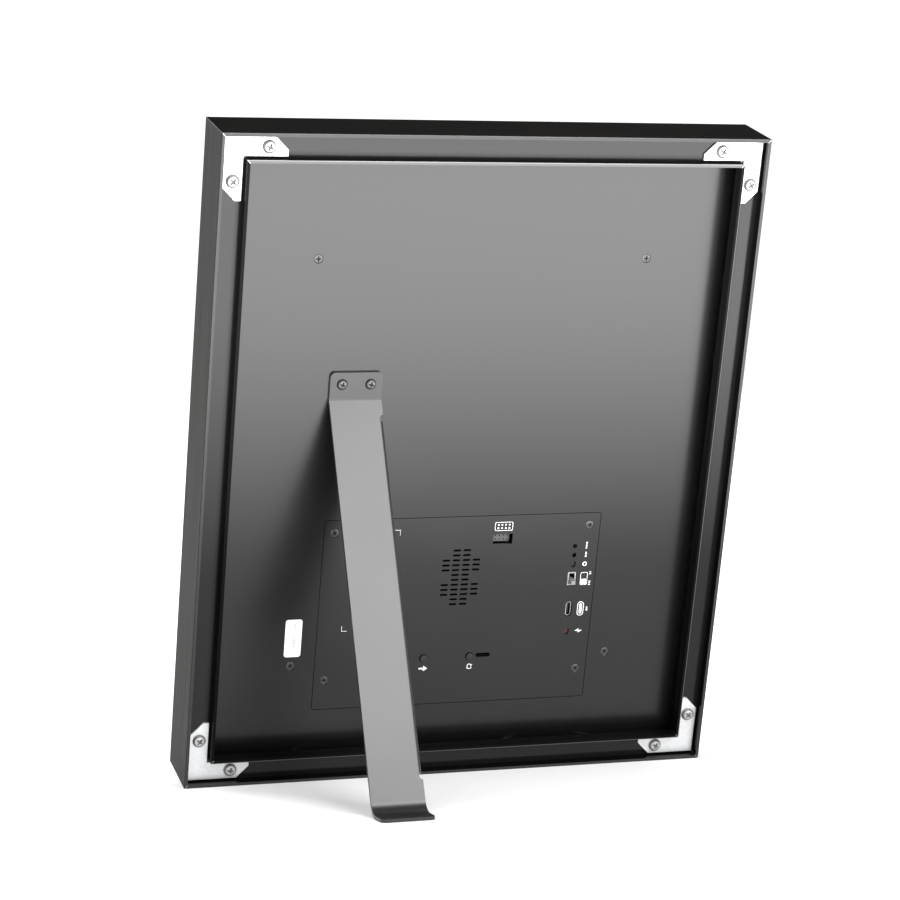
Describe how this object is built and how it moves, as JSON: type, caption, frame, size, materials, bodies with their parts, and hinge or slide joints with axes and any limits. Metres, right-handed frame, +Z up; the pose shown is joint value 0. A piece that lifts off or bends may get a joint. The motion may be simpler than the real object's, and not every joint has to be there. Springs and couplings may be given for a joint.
{
  "type": "digital photo frame",
  "caption": "Digital photo frame: mitred aluminium rails with corner plates, recessed steel back with access cover and ports, glazed e-paper display, and a bent strap stand.",
  "frame": {"origin": "centre of the bounding box, on the surface the frame stands on", "axes": "+Z up, display faces -Y, stand leg and back panel face +Y, +X to the right seen from the front"},
  "size_m": [0.33, 0.1906, 0.3916],
  "materials": {
    "black_anodised": "black anodised, brushed outer sides",
    "bright_zinc": "bright zinc plate",
    "satin_black_steel": "satin black powder coat",
    "satin_leg_paint": "satin black powder coat",
    "black_screws": "black zinc",
    "clear_glass": "clear",
    "mat_card": "matt white card",
    "screen": "matt e-paper",
    "foam_board": "foam board",
    "ribbon_film": "amber film",
    "circuit_board": "dark green solder mask",
    "spring_steel": "spring steel",
    "label_paper": "blank white label",
    "port_steel": "nickel plate",
    "black_plastic": "moulded black",
    "light_guide": "clear light guide",
    "module_can": "tinned shield can",
    "battery_film": "grey pouch film",
    "lead_sleeve": "insulated twin lead"
  },
  "bodies": {
    "frame_body": {"access_cover": "satin_black_steel", "access_cover_screws": "black_screws", "back_panel": "satin_black_steel", "back_panel_screws": "black_screws", "battery_connector": "black_plastic", "battery_lead": "lead_sleeve", "battery_pack": "battery_film", "blank_label": "label_paper", "board_screws": "bright_zinc", "board_standoffs": "bright_zinc", "boot_switch_body": "black_plastic", "card_socket": "black_plastic", "charge_light_pipe": "light_guide", "controller_board": "circuit_board", "corner_plate_bottom_left": "bright_zinc", "corner_plate_bottom_right": "bright_zinc", "corner_plate_screws": "bright_zinc", "corner_plate_top_left": "bright_zinc", "corner_plate_top_right": "bright_zinc", "cover_seat_ring": "satin_black_steel", "display_carrier": "foam_board", "display_panel": "screen", "display_ribbon": "ribbon_film", "driver_board": "circuit_board", "frame_rail_bottom": "black_anodised", "frame_rail_left": "black_anodised", "frame_rail_right": "black_anodised", "frame_rail_top": "black_anodised", "glazing_pane": "clear_glass", "indicator_lights": "light_guide", "mat_board": "mat_card", "next_switch_body": "black_plastic", "panel_posts": "bright_zinc", "pin_socket": "black_plastic", "power_switch_body": "port_steel", "pressure_springs": "spring_steel", "processor_chip": "black_plastic", "refresh_switch_body": "black_plastic", "reset_switch_body": "black_plastic", "speaker": "black_plastic", "stand_backing_plate": "satin_black_steel", "stand_leg": "satin_leg_paint", "stand_screws": "black_screws", "status_light_pipe": "light_guide", "usb_c_port": "port_steel", "wireless_module": "module_can"},
    "next_button_body": {"next_button": "black_plastic", "next_button_stem": "black_plastic"},
    "refresh_button_body": {"refresh_button": "black_plastic", "refresh_button_stem": "black_plastic"},
    "reset_plunger_body": {"reset_plunger": "black_plastic"},
    "boot_plunger_body": {"boot_plunger": "black_plastic"},
    "power_knob_body": {"power_switch_knob": "black_plastic"}
  },
  "joints": [
    {"name": "next_button_press", "type": "slide", "parent": "frame_body", "child": "next_button_body", "axis": [0, -0.9578, 0.2874], "range_m": [0, 0.0005], "stiffness_N_per_m": 1200},
    {"name": "refresh_button_press", "type": "slide", "parent": "frame_body", "child": "refresh_button_body", "axis": [0, -0.9578, 0.2874], "range_m": [0, 0.0005], "stiffness_N_per_m": 1200},
    {"name": "reset_plunger_press", "type": "slide", "parent": "frame_body", "child": "reset_plunger_body", "axis": [0, -0.9578, 0.2874], "range_m": [0, 0.0003], "stiffness_N_per_m": 1200},
    {"name": "boot_plunger_press", "type": "slide", "parent": "frame_body", "child": "boot_plunger_body", "axis": [0, -0.9578, 0.2874], "range_m": [0, 0.0003], "stiffness_N_per_m": 1200},
    {"name": "power_switch_slide", "type": "slide", "parent": "frame_body", "child": "power_knob_body", "axis": [0, 0.2874, 0.9578], "range_m": [0, 0.003]}
  ]
}
